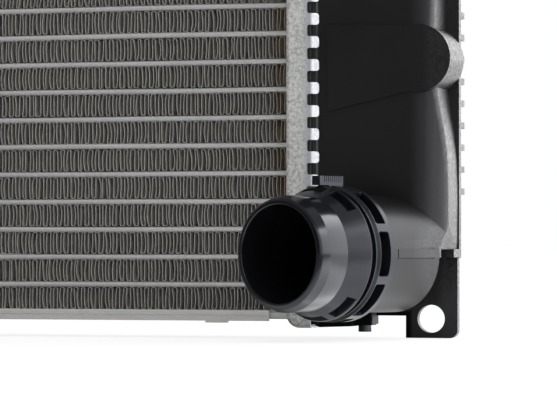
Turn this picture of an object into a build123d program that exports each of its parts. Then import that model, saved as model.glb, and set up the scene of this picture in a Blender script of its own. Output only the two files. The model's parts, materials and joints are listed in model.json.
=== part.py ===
from build123d import *
import math
import os

os.makedirs("parts", exist_ok=True)

# Car radiator, crossflow, brazed aluminium core with crimped plastic end tanks.
# Frame: +X runs along the tubes towards the outlet tank, -Y is the hose side (front),
# +Z is up.  The origin is at the middle of the lower edge of the core.
# The outlet end and the lower parts are modelled; the inlet end and the upper
# parts are the same shapes turned half round about the middle of the core.
# All sizes in millimetres.  "Outer" in X means away from the core.

# ---------------------------------------------------------------- core
tube_pitch = 10.0          # centre to centre of two flat tubes
tube_height = 2.1          # outer thickness of a flat tube
tube_depth = 32.0          # front to back
tube_wall = 0.35
tube_count = 42
first_tube_z = 12.95       # centre of the lowest tube
tube_half_length = 304.4   # tube end, measured from the middle of the core
core_height = 2 * first_tube_z + tube_pitch * (tube_count - 1)
mid_z = core_height / 2

fin_gap = tube_pitch - tube_height
fin_clear = 0.03           # brazed line between fin crest and tube
fin_depth = 31.6
fin_half_length = 299.4
fin_fold = 24.0            # length of one full fold of the simplified fin
fin_sheet = 0.5            # sheet thickness that keeps the mass of the fine fin

# ---------------------------------------------------------------- shared by header and tank
header_x0 = 301.2          # core-side face of the header plate
header_plate_t = 1.5
gasket_x0 = header_x0 + header_plate_t
gasket_t = 2.0
gasket_outer_y = 21.6
overrun = 5.0              # how far full-height bodies run past each end of the core

# ---------------------------------------------------------------- hose axis
yaw = math.radians(25.0)
mouth = (312.7, -66.1, 24.1)          # centre of the outlet mouth
inward = (math.sin(yaw), math.cos(yaw), 0.0)
sideways = (math.cos(yaw), -math.sin(yaw), 0.0)

profile_plane = Plane(origin=mouth, x_dir=sideways, z_dir=(0, 0, 1))
hose_axis = Axis(mouth, inward)
half_turn = Pos(0, 0, core_height) * Rot(0, 180, 0)


def along(distance):
    """Point on the hose axis, the given distance in from the mouth."""
    return (mouth[0] + inward[0] * distance, mouth[1] + inward[1] * distance, mouth[2])


def beside_hose(radius, distance):
    """Plan position to the +X side of the hose axis, the distance in from the mouth."""
    x, y, _ = along(distance)
    return (x + sideways[0] * radius, y + sideways[1] * radius)


def disc_plane(distance):
    """Plane square to the hose axis: x sideways, y down, normal into the tank."""
    return Plane(origin=along(distance), x_dir=sideways, z_dir=inward)


def radial_plane(degrees):
    """Half plane through the hose axis, turned up from the horizontal."""
    angle = math.radians(degrees)
    x_dir = (
        sideways[0] * math.cos(angle),
        sideways[1] * math.cos(angle),
        math.sin(angle),
    )
    normal = Vector(x_dir).cross(Vector(inward))
    return Plane(origin=mouth, x_dir=x_dir, z_dir=normal)


def rectangle_between(x0, x1, y0, y1):
    """Rectangle in the current sketch, given by its limits in sketch axes."""
    with Locations(((x0 + x1) / 2, (y0 + y1) / 2)):
        Rectangle(x1 - x0, y1 - y0)


def save(part, name):
    """Label a part and write its STEP file."""
    part.label = name
    export_step(part, f"parts/{name}.step")


def save_with_twin(part, name, twin_name):
    """Save a part, and its copy turned half round about the middle of the core."""
    save(part, name)
    turned_shape = half_turn * part
    with BuildPart() as twin:
        add(turned_shape)
    save(twin.part, twin_name)


# ================================================================ core tubes
with BuildPart() as core_tubes:
    with BuildSketch(Plane.YZ.offset(-tube_half_length)):
        with Locations((0, mid_z)):
            with GridLocations(1, tube_pitch, 1, tube_count):
                SlotOverall(tube_depth, tube_height)
        with Locations((0, mid_z)):
            with GridLocations(1, tube_pitch, 1, tube_count):
                SlotOverall(
                    tube_depth - 2 * tube_wall,
                    tube_height - 2 * tube_wall,
                    mode=Mode.SUBTRACT,
                )
    extrude(amount=2 * tube_half_length)
save(core_tubes.part, "core_tubes")

# ================================================================ fins
half_gap = fin_gap / 2 - fin_clear
fold_count = int(2 * fin_half_length // fin_fold)
step_x = fin_half_length / fold_count
slope = math.hypot(step_x, 2 * half_gap) / step_x
lift = fin_sheet / 2 * slope          # half the sheet, measured along Z
crest = half_gap - lift
centre_line = [
    (-fin_half_length + i * step_x, crest if i % 2 else -crest)
    for i in range(2 * fold_count + 1)
]
upper_line = [(x, z + lift) for x, z in centre_line]
lower_line = [(x, z - lift) for x, z in centre_line]

with BuildSketch() as fold_profile:
    with BuildLine():
        Polyline(*upper_line, *reversed(lower_line), close=True)
    make_face()

with BuildPart() as fin_packs:
    with BuildSketch(Plane.XZ.offset(-fin_depth / 2)):
        with Locations((0, mid_z)):
            with GridLocations(1, tube_pitch, 1, tube_count + 1):
                add(fold_profile.sketch)
    extrude(amount=fin_depth)
save(fin_packs.part, "fin_packs")

# ================================================================ side plates
plate_half_length = 293.0
plate_half_y = tube_depth / 2
plate_sheet = 1.1
plate_inner_y = plate_half_y - plate_sheet
plate_top = first_tube_z - tube_height / 2 - fin_gap   # face the fins sit on
plate_bend_r = 0.5
tongue_end = 300.9
tongue_width = 28.0
tongue_z, tongue_t = 1.2, 1.9
tongue_overlap = 2.0       # how far a tongue's middle lies inside the plate end
groove_z, groove_width = 1.9, 0.5
lip_x, lip_length = 273.4, 8.4
lip_z, lip_height = -0.7, 0.9
seat_length = 24.0
seat_drop = 0.5            # top of the seat below the top of the plate

with BuildPart() as lower_side_plate:
    with BuildSketch(Plane.YZ.offset(-plate_half_length)):
        with BuildLine():
            Polyline(
                (-plate_half_y, 0),
                (-plate_half_y, plate_top),
                (plate_half_y, plate_top),
                (plate_half_y, 0),
                (plate_inner_y, 0),
                (plate_inner_y, plate_top - plate_sheet),
                (-plate_inner_y, plate_top - plate_sheet),
                (-plate_inner_y, 0),
                close=True,
            )
        make_face()
    extrude(amount=2 * plate_half_length)
    fillet(
        lower_side_plate.edges().filter_by(Axis.X).group_by(Axis.Z)[-1],
        radius=plate_bend_r,
    )
    # end tongues that reach the header plates
    tongue_x = plate_half_length - tongue_overlap
    with BuildSketch(Plane.XY.offset(tongue_z)):
        with Locations((tongue_x, 0), (-tongue_x, 0)):
            Rectangle(2 * (tongue_end - tongue_x), tongue_width)
    extrude(amount=tongue_t)
    # lengthwise groove pressed into each upright
    with BuildSketch(Plane.YZ.offset(-plate_half_length)):
        with Locations((-plate_half_y, groove_z), (plate_half_y, groove_z)):
            Rectangle(0.3, groove_width)
    extrude(amount=2 * plate_half_length, mode=Mode.SUBTRACT)
    # lips under the uprights
    with BuildSketch(Plane.XY.offset(lip_z)):
        with GridLocations(2 * lip_x, tube_depth - plate_sheet, 2, 2):
            Rectangle(lip_length, plate_sheet)
    extrude(amount=lip_height)
    # flat seat in the middle, level with the lower edge of the core
    with BuildSketch(Plane.XY):
        Rectangle(seat_length, tube_depth - plate_sheet)
    extrude(amount=plate_top - seat_drop)
save_with_twin(lower_side_plate.part, "lower_side_plate", "upper_side_plate")

# ================================================================ headers
header_wall_t = 1.2
header_half_y = 23.0       # outside of the header side walls
header_inner_y = header_half_y - header_wall_t
header_over = 2.2          # how far the header stands past the core, top and bottom
header_height = core_height + 2 * header_over
pan_x1 = 310.4             # outer edge of the pan's end walls
pan_end_r = 5.0            # rounding of the pan in side view
pan_edge_r = 1.6           # rounding along the side walls
hollow_x1 = 330.0          # well past the open side of the pan
hollow_corner_r = 3.8
hole_clear = 0.06          # added to the tube section for its hole

crimp_wall_x = 310.86      # where the tabs start to bend
crimp_end_gap = 6.0        # side walls with tabs stop this far inside the core ends
slot_pitch = 8.18
slot_count = 52
slot_width = 4.1
slot_x = 309.0             # closed end of a slot
slot_length = 10.0
first_slot_z = 5.12
slot_corner_r = 0.9

# x, y of the front side wall and its bent lip
crimp_outline = [
    (308.0, -header_half_y),
    (crimp_wall_x, -header_half_y),
    (313.05, -20.81),
    (312.2, -19.96),
    (310.36, -header_inner_y),
    (308.0, -header_inner_y),
]

with BuildPart() as outlet_header:
    # pan with rounded ends
    with BuildSketch(Plane.XZ.offset(-header_half_y)):
        rectangle_between(header_x0, pan_x1, -header_over, core_height + header_over)
    extrude(amount=2 * header_half_y)
    fillet(
        outlet_header.edges().filter_by(Axis.Y).group_by(Axis.X)[0],
        radius=pan_end_r,
    )
    fillet(
        outlet_header.faces()
        .filter_by(Axis.Y)
        .edges()
        .filter_by(lambda e: e.center().X < 309.0),
        radius=pan_edge_r,
    )
    # hollow of the pan
    with BuildSketch(Plane.XZ.offset(-header_inner_y)):
        with Locations(((gasket_x0 + hollow_x1) / 2, mid_z)):
            RectangleRounded(
                hollow_x1 - gasket_x0,
                header_height - 2 * header_wall_t,
                hollow_corner_r,
            )
    extrude(amount=2 * header_inner_y, mode=Mode.SUBTRACT)
    # side walls carried on to the bent lip
    with BuildSketch(Plane.XY.offset(crimp_end_gap)):
        with BuildLine():
            Polyline(*crimp_outline, close=True)
        make_face()
        mirror(about=Plane.XZ)
    extrude(amount=core_height - 2 * crimp_end_gap)
    # gaps between the crimp tabs
    with BuildSketch(Plane.XZ.offset(-30)):
        for k in range(slot_count):
            with Locations((slot_x + slot_length / 2, first_slot_z + slot_pitch * k)):
                RectangleRounded(slot_length, slot_width, slot_corner_r)
    extrude(amount=60, mode=Mode.SUBTRACT)
    # holes for the flat tubes
    with BuildSketch(Plane.YZ.offset(header_x0 - 1)):
        with Locations((0, mid_z)):
            with GridLocations(1, tube_pitch, 1, tube_count):
                SlotOverall(tube_depth + hole_clear, tube_height + hole_clear)
    extrude(amount=4, mode=Mode.SUBTRACT)
save_with_twin(outlet_header.part, "outlet_header", "inlet_header")

# ================================================================ gaskets
gasket_inner_y = 16.8
gasket_end = 3.4           # inset of the gasket from the ends of the core
gasket_end_width = 4.8     # width of the gasket across its two ends
gasket_height = core_height - 2 * gasket_end

with BuildPart() as outlet_gasket:
    with BuildSketch(Plane.YZ.offset(gasket_x0)):
        with Locations((0, mid_z)):
            RectangleRounded(2 * gasket_outer_y, gasket_height, 4.0)
            RectangleRounded(
                2 * gasket_inner_y,
                gasket_height - 2 * gasket_end_width,
                2.0,
                mode=Mode.SUBTRACT,
            )
    extrude(amount=gasket_t)
    fillet(outlet_gasket.edges().filter_by(Axis.Z), radius=0.6)
save_with_twin(outlet_gasket.part, "outlet_gasket", "inlet_gasket")

# ================================================================ tanks: sizes
foot_x0 = gasket_x0 + gasket_t
foot_half_y = gasket_outer_y
foot_over = 0.9            # how far the foot stands past the ends of the core
foot_edge = 1.6            # chamfer at the ends of the foot
tank_half_y = 19.5
tank_wall = 3.0
tank_floor_z = 3.6
tank_top_z = core_height - tank_floor_z
body_x0 = 302.0
tank_low_x = 351.7         # outer wall under the ledge
tank_high_x = 358.5        # outer wall at its widest, above the ledge
tank_top_x = 354.2         # outer wall from the swelling upwards
tank_corner_r = 16.5       # lower corner in side view
tank_top_r = 14.0          # upper corner in side view
envelope_x0 = 290.0        # inner limit of the envelopes, clear of the foot
envelope_y = 60.0          # back limit of the envelopes
envelope_depth = 150.0
ledge_z0, ledge_z1 = 22.8, 25.7
tank_round_r = 19.4        # broad rounding of front and back into the outer wall
tank_round_start = 345.6
back_x = 354.6             # outer wall behind the flange
tank_edge_r = 3.0          # tight edge where the rounding meets the outer wall
trim_depth, trim_width = 40.0, 100.0   # block that trims the core side at the foot
trim_height = core_height + 60
crimp_room_x, crimp_room_y = 313.6, 23.6

cavity_x0 = 295.0
cavity_floor_z = 5.9
cavity_half_y = tank_half_y - tank_wall
cavity_round_r = 7.0
cavity_back_x, cavity_back_y = back_x - 3.1, 0.8   # cavity is shallower behind this

pad_x, pad_y = 353.9, -0.6 # raised pad on the flange behind the elbow
pad_x0 = 325.0
flange_y0, flange_y1 = 1.0, 4.2
flange_t = flange_y1 - flange_y0
flange_x = 358.9
web_x0, web_x1, web_end = 312.5, 352.0, 1.85   # longer, narrower part of the flange
lug_x0, lug_x1 = 339.3, 358.3
lug_low_z = -6.1
lug_corner_r = 3.0
lug_hole_x, lug_hole_z, lug_hole_r = 348.6, 0.8, 5.0
rib_pitch, rib_t, rib_first_z, rib_count = 7.9, 2.3, 46.4, 44
rib_x0, rib_x1 = 341.3, 358.7
rib_y0, rib_y1 = flange_y1 - 0.3, 10.5

swelling_tip_x, swelling_z = 360.7, 93.0
swelling_x0, swelling_arc_x, swelling_half_height = 316.0, 345.6, 11.6
swelling_y = tank_half_y + 0.9         # its front face stands 0.9 past the tank

drain_x, drain_y, drain_boss_side = 327.0, -10.0, 7.0
drain_boss_z = -1.3
drain_bore_r = 2.62

# distances are along the hose axis, in from the mouth
stem_bore = 15.5
stem_end = 37.0
socket_r = 18.1
socket_end = stem_end + 0.6
neck_r = 20.0
neck_start = 20.6
snap_groove_start, snap_groove_end, snap_groove_r = 21.2, 22.9, 19.1
elbow_start = 31.9
elbow_r = 20.7
elbow_end = 60.0
bead_r = 21.05             # bead round the elbow beside the ring
neck_end = elbow_start + 3

# x, z of the outer wall above the ledge
wall_swell = [
    (358.2, ledge_z1), (358.4, 33.0), (tank_high_x, 42.0),
    (358.4, 51.0), (358.1, 59.0), (357.2, 67.5),
    (356.3, 73.2), (355.0, 82.0), (tank_top_x, 112.0),
]

# x, z of the cavity in side view
cavity_outline = [
    (envelope_x0, cavity_floor_z),
    (tank_low_x - tank_corner_r, cavity_floor_z),
    (345.0, 8.0),
    (tank_low_x - tank_wall, cavity_floor_z + tank_corner_r - tank_wall),
    (tank_low_x - tank_wall, 26.0),
    (355.0, 36.0),
    (355.2, 54.0),
    (tank_top_x - tank_wall, 86.0),
    (tank_top_x - tank_wall, tank_top_z - tank_top_r),
    (tank_top_x - tank_top_r, tank_top_z - tank_wall),
    (envelope_x0, tank_top_z - tank_wall),
]

# x, y of the foot in plan; the front edge is stepped, the back edge bevelled
foot_outline = [
    (foot_x0, -foot_half_y), (309.9, -foot_half_y),
    (310.25, -21.0), (310.85, -21.0),
    (311.15, -20.35), (311.75, -20.25),
    (312.4, -tank_half_y), (312.4, tank_half_y),
    (310.3, foot_half_y), (foot_x0, foot_half_y),
]

# x, z of the step under the tank
step_outline = [(310.9, 6.0), (310.9, -1.2), (312.6, -2.0), (324.4, -1.6), (324.4, 6.0)]

# x, y of the ledge in plan
ledge_outline = [
    beside_hose(18.0, 32.5), beside_hose(21.4, 32.5), beside_hose(21.4, 58.7),
    (356.9, -18.5), (353.0, -18.5), (353.0, -7.2), (flange_x, -7.2),
    (flange_x, flange_y0 + 1), (345.0, flange_y0 + 1),
]

# radius, distance of the neck with its snap ring groove
neck_outline = [
    (socket_r, neck_start), (neck_r, neck_start),
    (neck_r, snap_groove_start), (snap_groove_r, snap_groove_start),
    (snap_groove_r, snap_groove_end), (neck_r, snap_groove_end),
    (neck_r, neck_end), (socket_r, neck_end),
]

# plane on the outer wall beside the elbow: x along the wall, y up, normal outwards
slant_origin = Vector(356.6, -20.0, ledge_z1)
slant_along = Vector(358.3, 0.0, ledge_z1) - slant_origin
slant_up = Vector(358.4, -20.0, 38.0) - slant_origin
wall_slant = Plane(
    origin=slant_origin, x_dir=slant_along, z_dir=slant_along.cross(slant_up)
)

# ================================================================ tanks: tool bodies
# outside of the tank in side view
with BuildPart() as tank_envelope:
    with BuildSketch(Plane.XZ.offset(-envelope_y)):
        with BuildLine():
            low_arc_start = (tank_low_x - tank_corner_r, tank_floor_z)
            low_arc_end = (tank_low_x, tank_floor_z + tank_corner_r)
            top_arc_start = (tank_top_x, tank_top_z - tank_top_r)
            top_arc_end = (tank_top_x - tank_top_r, tank_top_z)
            Line((envelope_x0, tank_floor_z), low_arc_start)
            RadiusArc(low_arc_start, low_arc_end, -tank_corner_r)
            Line(low_arc_end, (tank_low_x, ledge_z1 - 0.2))
            Line((tank_low_x, ledge_z1 - 0.2), wall_swell[0])
            Spline(*wall_swell, tangents=[(0.1, 1.0), (0.0, 1.0)])
            Line(wall_swell[-1], top_arc_start)
            RadiusArc(top_arc_start, top_arc_end, -tank_top_r)
            Line(top_arc_end, (envelope_x0, tank_top_z))
            Line((envelope_x0, tank_top_z), (envelope_x0, tank_floor_z))
        make_face()
    extrude(amount=envelope_depth)

with BuildPart() as cavity_envelope:
    with BuildSketch(Plane.XZ.offset(-envelope_y)):
        with BuildLine():
            Polyline(*cavity_outline, close=True)
        make_face()
    extrude(amount=envelope_depth)

# inside of the tank and of the hose passage
with BuildPart() as cavity:
    with BuildSketch(Plane.XY.offset(-overrun)):
        rectangle_between(
            cavity_x0, tank_high_x - tank_wall, -cavity_half_y, cavity_half_y
        )
    extrude(amount=core_height + 2 * overrun)
    fillet(
        cavity.edges().filter_by(Axis.Z).group_by(Axis.X)[-1],
        radius=cavity_round_r,
    )
    with BuildSketch(disc_plane(stem_end - 1.0)):
        Circle(stem_bore)
    extrude(amount=39)
    add(cavity_envelope.part, mode=Mode.INTERSECT)
    with BuildSketch(Plane.XY.offset(-overrun)):
        rectangle_between(
            cavity_back_x, cavity_back_x + 20, cavity_back_y, cavity_back_y + 30
        )
    extrude(amount=core_height + 2 * overrun, mode=Mode.SUBTRACT)

# elbow that turns to the hose, up to the outer wall
with BuildPart() as elbow_upper:
    with BuildSketch(disc_plane(elbow_start)):
        Circle(elbow_r)
    extrude(amount=42)
    with BuildSketch(Plane.YZ.offset(foot_x0)):
        with Locations((0, mid_z)):
            Rectangle(trim_width, trim_height)
    extrude(amount=-trim_depth, mode=Mode.SUBTRACT)
    add(tank_envelope.part, mode=Mode.INTERSECT)

# lower half of the elbow, which stands out past the wall under the ledge
with BuildPart() as elbow_lower:
    with BuildSketch(disc_plane(elbow_start)):
        Circle(elbow_r)
    extrude(amount=elbow_end - elbow_start)
    with BuildSketch(Plane.XY.offset(ledge_z0 + 0.7)):
        with Locations((340.0, -30.0)):
            Rectangle(160, 120)
    extrude(amount=60, mode=Mode.SUBTRACT)

# ================================================================ tanks
with BuildPart() as outlet_tank:
    # long body
    with BuildSketch(Plane.XY.offset(-overrun)):
        rectangle_between(
            body_x0, tank_round_start + tank_round_r, -tank_half_y, tank_half_y
        )
    extrude(amount=core_height + 2 * overrun)
    fillet(
        outlet_tank.edges().filter_by(Axis.Z).group_by(Axis.X)[-1],
        radius=tank_round_r,
    )
    with BuildSketch(Plane.YZ.offset(foot_x0)):
        with Locations((0, mid_z)):
            Rectangle(trim_width, trim_height)
    extrude(amount=-trim_depth, mode=Mode.SUBTRACT)
    add(tank_envelope.part, mode=Mode.INTERSECT)
    wall_edges = outlet_tank.edges().filter_by(
        lambda e: e.center().X > 352.0
        and abs(e.center().Y) > 8.0
        and e.bounding_box().min.Z > ledge_z1 - 0.1
    )
    fillet(wall_edges, radius=tank_edge_r)
    # the back half is narrower, so that the ribs stand past it
    with BuildSketch(Plane.XY.offset(ledge_z1)):
        rectangle_between(back_x, back_x + 20, flange_y1 - 0.4, flange_y1 + 29.6)
    extrude(amount=core_height, mode=Mode.SUBTRACT)
    add(elbow_upper.part)
    # the wall turns in a little beside the elbow, just above the ledge
    with BuildSketch(wall_slant):
        rectangle_between(-30, 30, 0, 20)
    extrude(amount=8, mode=Mode.SUBTRACT)
    add(elbow_lower.part)
    with BuildSketch(disc_plane(elbow_start + 0.1)):
        Circle(bead_r)
    extrude(amount=4.2)
    # room for the header's side wall and crimp tabs
    with BuildSketch(Plane.XY.offset(-overrun)):
        rectangle_between(envelope_x0, crimp_room_x, -crimp_room_y, -tank_half_y)
    extrude(amount=core_height + 2 * overrun, mode=Mode.SUBTRACT)

    # foot held by the crimp tabs
    with BuildSketch(Plane.XY.offset(-foot_over)):
        with BuildLine():
            Polyline(*foot_outline, close=True)
        make_face()
    extrude(amount=core_height + 2 * foot_over)
    chamfer(
        outlet_tank.edges().filter_by(Axis.Y).group_by(Axis.X)[0],
        length=foot_edge,
    )
    # step under the tank beside the header
    with BuildSketch(Plane.XZ.offset(-19.4)):
        with BuildLine():
            Polyline(*step_outline, close=True)
        make_face()
    extrude(amount=38.0)

    # swelling on the hose side, round at its outer end
    with BuildSketch(Plane.XZ.offset(swelling_y)):
        with BuildLine():
            swelling_arc_low = (swelling_arc_x, swelling_z - swelling_half_height)
            swelling_arc_high = (swelling_arc_x, swelling_z + swelling_half_height)
            Line((swelling_x0, 74.6), swelling_arc_low)
            ThreePointArc(
                swelling_arc_low, (swelling_tip_x, swelling_z), swelling_arc_high
            )
            Line(swelling_arc_high, (swelling_x0, swelling_z + 12.4))
            Line((swelling_x0, swelling_z + 12.4), (swelling_x0, 74.6))
        make_face()
    extrude(amount=-(swelling_y + flange_y0))

    # upright flange with a lug at each end
    with BuildSketch(Plane.XZ.offset(-flange_y0)):
        rectangle_between(330.0, flange_x, ledge_z0 - 0.3, core_height - ledge_z0 + 0.3)
        rectangle_between(web_x0, web_x1, web_end, core_height - web_end)
    extrude(amount=-flange_t)
    with BuildSketch(Plane.XZ.offset(-flange_y0)):
        # z of the lug's free end, Z direction towards the core, z where it joins
        for end_z, turn, join_z in (
            (lug_low_z, 1, ledge_z1),
            (core_height - lug_low_z, -1, core_height - ledge_z1),
        ):
            with BuildLine():
                corner_start = (lug_x1 - lug_corner_r, end_z)
                corner_end = (lug_x1, end_z + turn * lug_corner_r)
                Line((lug_x0, end_z), corner_start)
                RadiusArc(corner_start, corner_end, -turn * lug_corner_r)
                Line(corner_end, (lug_x1, join_z))
                Line((lug_x1, join_z), (lug_x0, join_z))
                Line((lug_x0, join_z), (lug_x0, end_z))
            make_face()
    extrude(amount=-flange_t)

    # stiffening ribs behind the flange
    for k in range(rib_count):
        with BuildSketch(Plane.XY.offset(rib_first_z - rib_t / 2 + k * rib_pitch)):
            rectangle_between(rib_x0, rib_x1, rib_y0, rib_y1)
        extrude(amount=rib_t)

    # raised pad that follows the rounded lower corner
    with BuildSketch(Plane.XZ.offset(-pad_y)):
        with BuildLine():
            pad_arc_start = (pad_x - tank_corner_r, tank_floor_z)
            pad_arc_end = (pad_x, tank_floor_z + tank_corner_r)
            pad_top_z = ledge_z0 + 1.0
            Line((pad_x0, tank_floor_z), pad_arc_start)
            RadiusArc(pad_arc_start, pad_arc_end, -tank_corner_r)
            Line(pad_arc_end, (pad_x, pad_top_z))
            Line((pad_x, pad_top_z), (pad_x0, pad_top_z))
            Line((pad_x0, pad_top_z), (pad_x0, tank_floor_z))
        make_face()
    extrude(amount=-(flange_y0 - pad_y + 0.5))

    # ledge around the elbow
    with BuildSketch(Plane.XY.offset(ledge_z0)):
        with BuildLine():
            Polyline(*ledge_outline, close=True)
        make_face()
    extrude(amount=ledge_z1 - ledge_z0)

    # fine grooves beside the ring and under the ledge
    with BuildSketch(profile_plane):
        with Locations((bead_r, elbow_start + 4.5)):
            Rectangle(1.5, 0.4)
    revolve(axis=hose_axis, mode=Mode.SUBTRACT)
    with BuildSketch(Plane.XY.offset(ledge_z0 - 0.35)):
        with BuildLine():
            Polyline(
                beside_hose(20.3, 36.6),
                beside_hose(23.0, 36.6),
                beside_hose(23.0, 57.0),
                beside_hose(20.3, 57.0),
                close=True,
            )
        make_face()
    extrude(amount=0.35, mode=Mode.SUBTRACT)

    # drain boss
    with BuildSketch(Plane.XY.offset(drain_boss_z)):
        with Locations((drain_x, drain_y)):
            RectangleRounded(drain_boss_side, drain_boss_side, 0.7)
    extrude(amount=8.0)

    # hollow
    add(cavity.part, mode=Mode.SUBTRACT)

    # neck that carries the lock ring, with its socket and snap ring groove
    with BuildSketch(profile_plane):
        with BuildLine():
            Polyline(*neck_outline, close=True)
        make_face()
    revolve(axis=hose_axis)
    with BuildSketch(disc_plane(neck_start - 1)):
        Circle(socket_r)
    extrude(amount=socket_end - neck_start + 1, mode=Mode.SUBTRACT)

    # drain passage
    with BuildSketch(Plane.XY.offset(drain_boss_z - 1)):
        with Locations((drain_x, drain_y)):
            Circle(drain_bore_r)
    extrude(amount=12.0, mode=Mode.SUBTRACT)

    # holes in the lugs
    with BuildSketch(Plane.XZ.offset(-flange_y0 + 1)):
        with Locations(
            (lug_hole_x, lug_hole_z), (lug_hole_x, core_height - lug_hole_z)
        ):
            Circle(lug_hole_r)
    extrude(amount=-(flange_t + 2), mode=Mode.SUBTRACT)
save_with_twin(outlet_tank.part, "outlet_tank", "inlet_tank")

# ================================================================ couplings: spigot
# Sketches on profile_plane hold (radius, distance in from the mouth).
spigot_r, spigot_bore = 20.1, 16.9
spigot_nose = -2.3                    # front edge of the spigot
nose_end = 2.0                        # where the lead-in cone reaches full radius
spigot_shoulder = 11.0
stem_r = 18.0
seal_distances = (26.5, 31.5)         # the two seals on the stem
seal_groove_r, seal_groove_half = 16.6, 1.0

nose_edge = (spigot_bore + 0.3, spigot_nose)
cone_start = (19.2, -1.0)
seal_grooves = [
    point
    for distance in seal_distances
    for point in (
        (stem_r, distance - seal_groove_half),
        (seal_groove_r, distance - seal_groove_half),
        (seal_groove_r, distance + seal_groove_half),
        (stem_r, distance + seal_groove_half),
    )
]

with BuildPart() as outlet_spigot:
    with BuildSketch(profile_plane):
        with BuildLine():
            Spline(
                nose_edge,
                (18.55, -1.95),
                cone_start,
                tangents=[(1.0, 0.0), (0.29, 0.96)],
            )
            Polyline(
                cone_start,
                (spigot_r, nose_end),
                (spigot_r, spigot_shoulder),
                (stem_r, spigot_shoulder),
                *seal_grooves,
                (stem_r, stem_end - 1.0),
                (stem_r - 1.0, stem_end),
                (stem_bore, stem_end),
                (stem_bore, 19.0),
                (spigot_bore, 13.0),
                (spigot_bore, spigot_nose + 0.35),
                nose_edge,
            )
        make_face()
    revolve(axis=hose_axis)
save_with_twin(outlet_spigot.part, "outlet_spigot", "inlet_spigot")

# ================================================================ couplings: collar
collar_r = 23.4
collar_gap = 0.05                     # clearance to the spigot
collar_rim_start, collar_end = 19.3, 19.9
notch_arc = 28
notch_angles = (56, 92, 128, -56, -92, -128)

with BuildPart() as outlet_collar:
    with BuildSketch(profile_plane):
        with BuildLine():
            Polyline(
                (stem_r + collar_gap, spigot_shoulder + collar_gap),
                (spigot_r, spigot_shoulder + collar_gap),
                (collar_r, collar_rim_start),
                (collar_r, collar_end),
                (stem_r + collar_gap, collar_end),
                close=True,
            )
        make_face()
    revolve(axis=hose_axis)
    for angle in notch_angles:
        with BuildSketch(radial_plane(angle + notch_arc / 2)):
            with Locations((22.6, 16.9)):
                Rectangle(4.6, 3.4)
        revolve(axis=hose_axis, revolution_arc=notch_arc, mode=Mode.SUBTRACT)
save_with_twin(outlet_collar.part, "outlet_collar", "inlet_collar")

# ================================================================ couplings: snap ring
snap_ring_r, snap_wire_r = 20.05, 0.8
snap_ring_opening = 20                # degrees, centred on the top

with BuildPart() as outlet_snap_ring:
    with BuildSketch(radial_plane(90 - snap_ring_opening / 2)):
        with Locations((snap_ring_r, (snap_groove_start + snap_groove_end) / 2)):
            Circle(snap_wire_r)
    revolve(axis=hose_axis, revolution_arc=360 - snap_ring_opening)
save_with_twin(outlet_snap_ring.part, "outlet_snap_ring", "inlet_snap_ring")

# ================================================================ couplings: lock ring
ring_r, ring_inner, ring_bore = 23.7, 22.3, 20.06
ring_start, ring_end = 22.6, 31.5
ring_hollow_start, ring_hollow_end = 24.2, 29.9
window_start, window_end = 24.3, 29.5
window_arc = 38.0
window_angles = (0, 45, 135, 180, 225, 270, 315)   # none at the top, under the tab
tab_start, tab_end, tab_r, tab_width = 17.6, 30.0, 27.0, 3.6
tab_root_r = 22.6                     # underside of the tab over the ring
tab_nose_r = 23.8                     # underside of the tab in front of the ring
finger_groove = 0.4                   # width of a groove
finger_pitch, finger_count = 1.1, 9

with BuildPart() as outlet_lock_ring:
    with BuildSketch(profile_plane):
        with BuildLine():
            Polyline(
                (ring_bore, ring_start + 0.7),
                (21.0, ring_start + 0.7),
                (21.0, ring_start),
                (22.9, ring_start),
                (22.9, ring_start + 0.6),
                (ring_r, ring_start + 1.5),
                (ring_r, ring_end),
                (ring_bore, ring_end),
                (ring_bore, ring_hollow_end),
                (ring_inner, ring_hollow_end),
                (ring_inner, ring_hollow_start),
                (ring_bore, ring_hollow_start),
                close=True,
            )
        make_face()
    revolve(axis=hose_axis)
    for angle in window_angles:
        with BuildSketch(radial_plane(angle + window_arc / 2)):
            with Locations((22.9, (window_start + window_end) / 2)):
                Rectangle(3.0, window_end - window_start)
        revolve(axis=hose_axis, revolution_arc=window_arc, mode=Mode.SUBTRACT)
    # the short edges through the ring wall are the window corners
    window_corners = outlet_lock_ring.edges().filter_by(
        lambda e: abs(e.length - (ring_r - ring_inner)) < 0.02
    )
    fillet(window_corners, radius=0.9)
    # thumb tab on top
    with BuildSketch(disc_plane(ring_start)):
        with Locations((0, -(tab_root_r + tab_r) / 2)):
            Rectangle(tab_width, tab_r - tab_root_r)
    extrude(amount=tab_end - ring_start)
    with BuildSketch(disc_plane(tab_start)):
        with Locations((0, -(tab_nose_r + tab_r) / 2)):
            Rectangle(tab_width, tab_r - tab_nose_r)
    extrude(amount=ring_start - tab_start + 0.5)
    # finger grooves on both flanks and on top of the tab
    for k in range(finger_count):
        with BuildSketch(disc_plane(tab_start + 2.2 + finger_pitch * k)):
            with Locations((-tab_width / 2, -26.2), (tab_width / 2, -26.2)):
                Rectangle(0.3, 2.6)
            with Locations((0, -tab_r)):
                Rectangle(tab_width, 0.4)
        extrude(amount=finger_groove, mode=Mode.SUBTRACT)
save_with_twin(outlet_lock_ring.part, "outlet_lock_ring", "inlet_lock_ring")

# ================================================================ couplings: O-rings
o_ring_r, o_ring_wire_r = 17.34, 0.72

with BuildPart() as outlet_o_rings:
    with BuildSketch(profile_plane):
        with Locations(*[(o_ring_r, distance) for distance in seal_distances]):
            Circle(o_ring_wire_r)
    revolve(axis=hose_axis)
save_with_twin(outlet_o_rings.part, "outlet_o_rings", "inlet_o_rings")

# ================================================================ drain and bleed
screw_head_z = -3.7
driver_slot_length, driver_slot_width, driver_slot_depth = 5.0, 0.8, 1.2
seal_ring_r, seal_wire_r, seal_z = 2.08, 0.5, 4.6

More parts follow.
